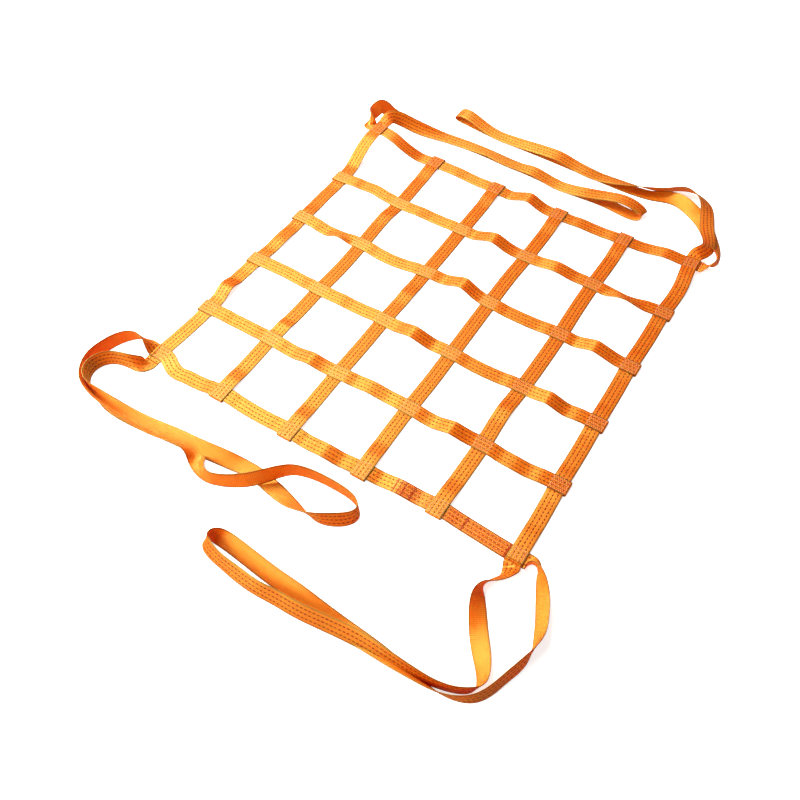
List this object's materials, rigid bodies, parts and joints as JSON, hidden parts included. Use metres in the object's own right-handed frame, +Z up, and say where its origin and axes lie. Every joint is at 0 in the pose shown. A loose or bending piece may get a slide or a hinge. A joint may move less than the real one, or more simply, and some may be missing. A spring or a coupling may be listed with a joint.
{
  "type": "cargo lifting net",
  "caption": "Square cargo lifting net sewn from flat orange webbing, lying spread on the floor with a long lifting loop at each corner.",
  "frame": {"origin": "centre of the bounding box at floor level", "axes": "+X along the row straps, +Y along the column straps towards the back loops, +Z up from the floor"},
  "size_m": [1.5895, 2.0701, 0.0966],
  "materials": {
    "webbing": "satin woven webbing"
  },
  "bodies": {
    "root": {"edge_front": "webbing", "edge_back": "webbing", "edge_left": "webbing", "edge_right": "webbing", "row_strap_1": "webbing", "row_strap_2": "webbing", "row_strap_3": "webbing", "row_strap_4": "webbing", "column_strap_1": "webbing", "column_strap_2": "webbing", "column_strap_3": "webbing", "column_strap_4": "webbing", "loop_front_left": "webbing", "loop_front_right": "webbing", "loop_back_left": "webbing", "loop_back_right": "webbing"}
  },
  "joints": []
}
